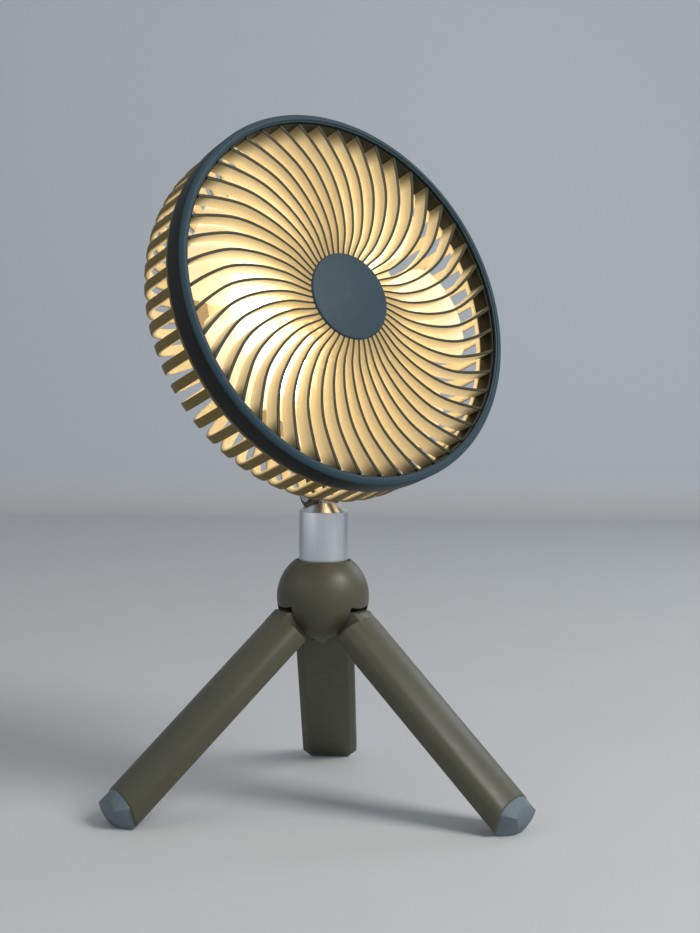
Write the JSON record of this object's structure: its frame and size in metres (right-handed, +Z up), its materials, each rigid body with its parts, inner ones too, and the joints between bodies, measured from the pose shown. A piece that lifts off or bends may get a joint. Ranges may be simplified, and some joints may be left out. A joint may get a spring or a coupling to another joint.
{
  "type": "portable fan",
  "caption": "Portable tripod fan: a lit, spiral-slatted round head tilts and swivels on a short stem over a ball hub with folding legs.",
  "frame": {"origin": "the point on the table straight under the stem's axis", "axes": "+Z up along the stem, -Y the way the fan blows, with the head tilted 20 degrees up as in the picture; +X to the right of someone facing the grille"},
  "size_m": [0.1976, 0.1929, 0.3216],
  "materials": {
    "rim_plastic": "satin dark green moulding",
    "cap_plastic": "fine matt disc",
    "slat_plastic": "satin olive moulding",
    "khaki_plastic": "fine matt olive moulding",
    "white_plastic": "white moulding",
    "diffuser": "milky lens",
    "button_plastic": "matt",
    "aluminium": "satin anodised",
    "steel": "plain",
    "ferrite": "dull",
    "copper": "lacquered wire",
    "board": "lacquer",
    "cell_foil": "foil",
    "nylon": "natural nylon",
    "foot_rubber": "matt rubber"
  },
  "bodies": {
    "hub": {"hub_upper": "khaki_plastic", "hub_lower": "khaki_plastic", "hub_screws": "steel", "leg_pins": "steel", "swivel_bush": "nylon", "swivel_washer": "nylon", "hub_plug": "khaki_plastic", "screw_plugs": "khaki_plastic"},
    "stem": {"stem_tube": "aluminium", "neck_knuckle": "aluminium", "stem_spindle": "aluminium", "swivel_nut": "steel", "spring_washer": "steel"},
    "rotor": {"motor_rotor": "steel", "magnet_ring": "ferrite", "motor_shaft": "steel", "impeller": "white_plastic", "impeller_nut": "white_plastic"},
    "fan_switch": {"fan_button": "button_plastic"},
    "light_switch": {"light_button": "button_plastic"},
    "leg_left_body": {"leg_left": "khaki_plastic", "foot_left": "foot_rubber"},
    "leg_front_body": {"leg_front": "khaki_plastic", "foot_front": "foot_rubber"},
    "leg_back_body": {"leg_back": "khaki_plastic", "foot_back": "foot_rubber"},
    "head": {"front_rim": "rim_plastic", "front_cap": "cap_plastic", "front_grille": "slat_plastic", "rear_cage": "slat_plastic", "rear_cover": "khaki_plastic", "neck_bracket": "khaki_plastic", "rear_housing": "white_plastic", "light_diffuser": "diffuser", "status_lens": "diffuser", "led_chips": "diffuser", "tact_switches": "button_plastic", "cover_screws": "steel", "bracket_screws": "steel", "tilt_pin": "steel", "tilt_nut": "steel", "motor_bearings": "steel", "motor_stator": "steel", "charge_port": "steel", "motor_windings": "copper", "control_board": "board", "led_board": "board", "battery_cells": "cell_foil", "tilt_washers": "nylon", "motor_base": "nylon"}
  },
  "joints": [
    {"name": "head_swivel", "type": "hinge", "parent": "hub", "child": "stem", "pos_m": [0, 0, 0.0987], "axis": [0, 0, 1], "continuous": true},
    {"name": "head_tilt", "type": "hinge", "parent": "stem", "child": "head", "pos_m": [0, 0.0029, 0.1454], "axis": [-1, 0, 0], "range_deg": [-20, 70]},
    {"name": "fan_spin", "type": "hinge", "parent": "head", "child": "rotor", "pos_m": [0, -0.01906, 0.23768], "axis": [0, -0.9397, 0.342], "continuous": true},
    {"name": "fan_button_press", "type": "slide", "parent": "head", "child": "fan_switch", "axis": [0, -0.9397, 0.342], "range_m": [0, 0.0008], "stiffness_N_per_m": 500, "springref_m": -0.001},
    {"name": "light_button_press", "type": "slide", "parent": "head", "child": "light_switch", "axis": [0, -0.9397, 0.342], "range_m": [0, 0.0008], "stiffness_N_per_m": 500, "springref_m": -0.001},
    {"name": "leg_left_fold", "type": "hinge", "parent": "hub", "child": "leg_left_body", "pos_m": [-0.01183, 0.00202, 0.0886], "axis": [-0.1685, -0.9857, 0], "range_deg": [0, 47]},
    {"name": "leg_front_fold", "type": "hinge", "parent": "hub", "child": "leg_front_body", "pos_m": [0.00416, -0.01125, 0.0886], "axis": [0.9379, 0.3469, 0], "range_deg": [0, 47]},
    {"name": "leg_back_fold", "type": "hinge", "parent": "hub", "child": "leg_back_body", "pos_m": [0.00766, 0.00923, 0.0886], "axis": [-0.7694, 0.6388, 0], "range_deg": [0, 47]}
  ]
}
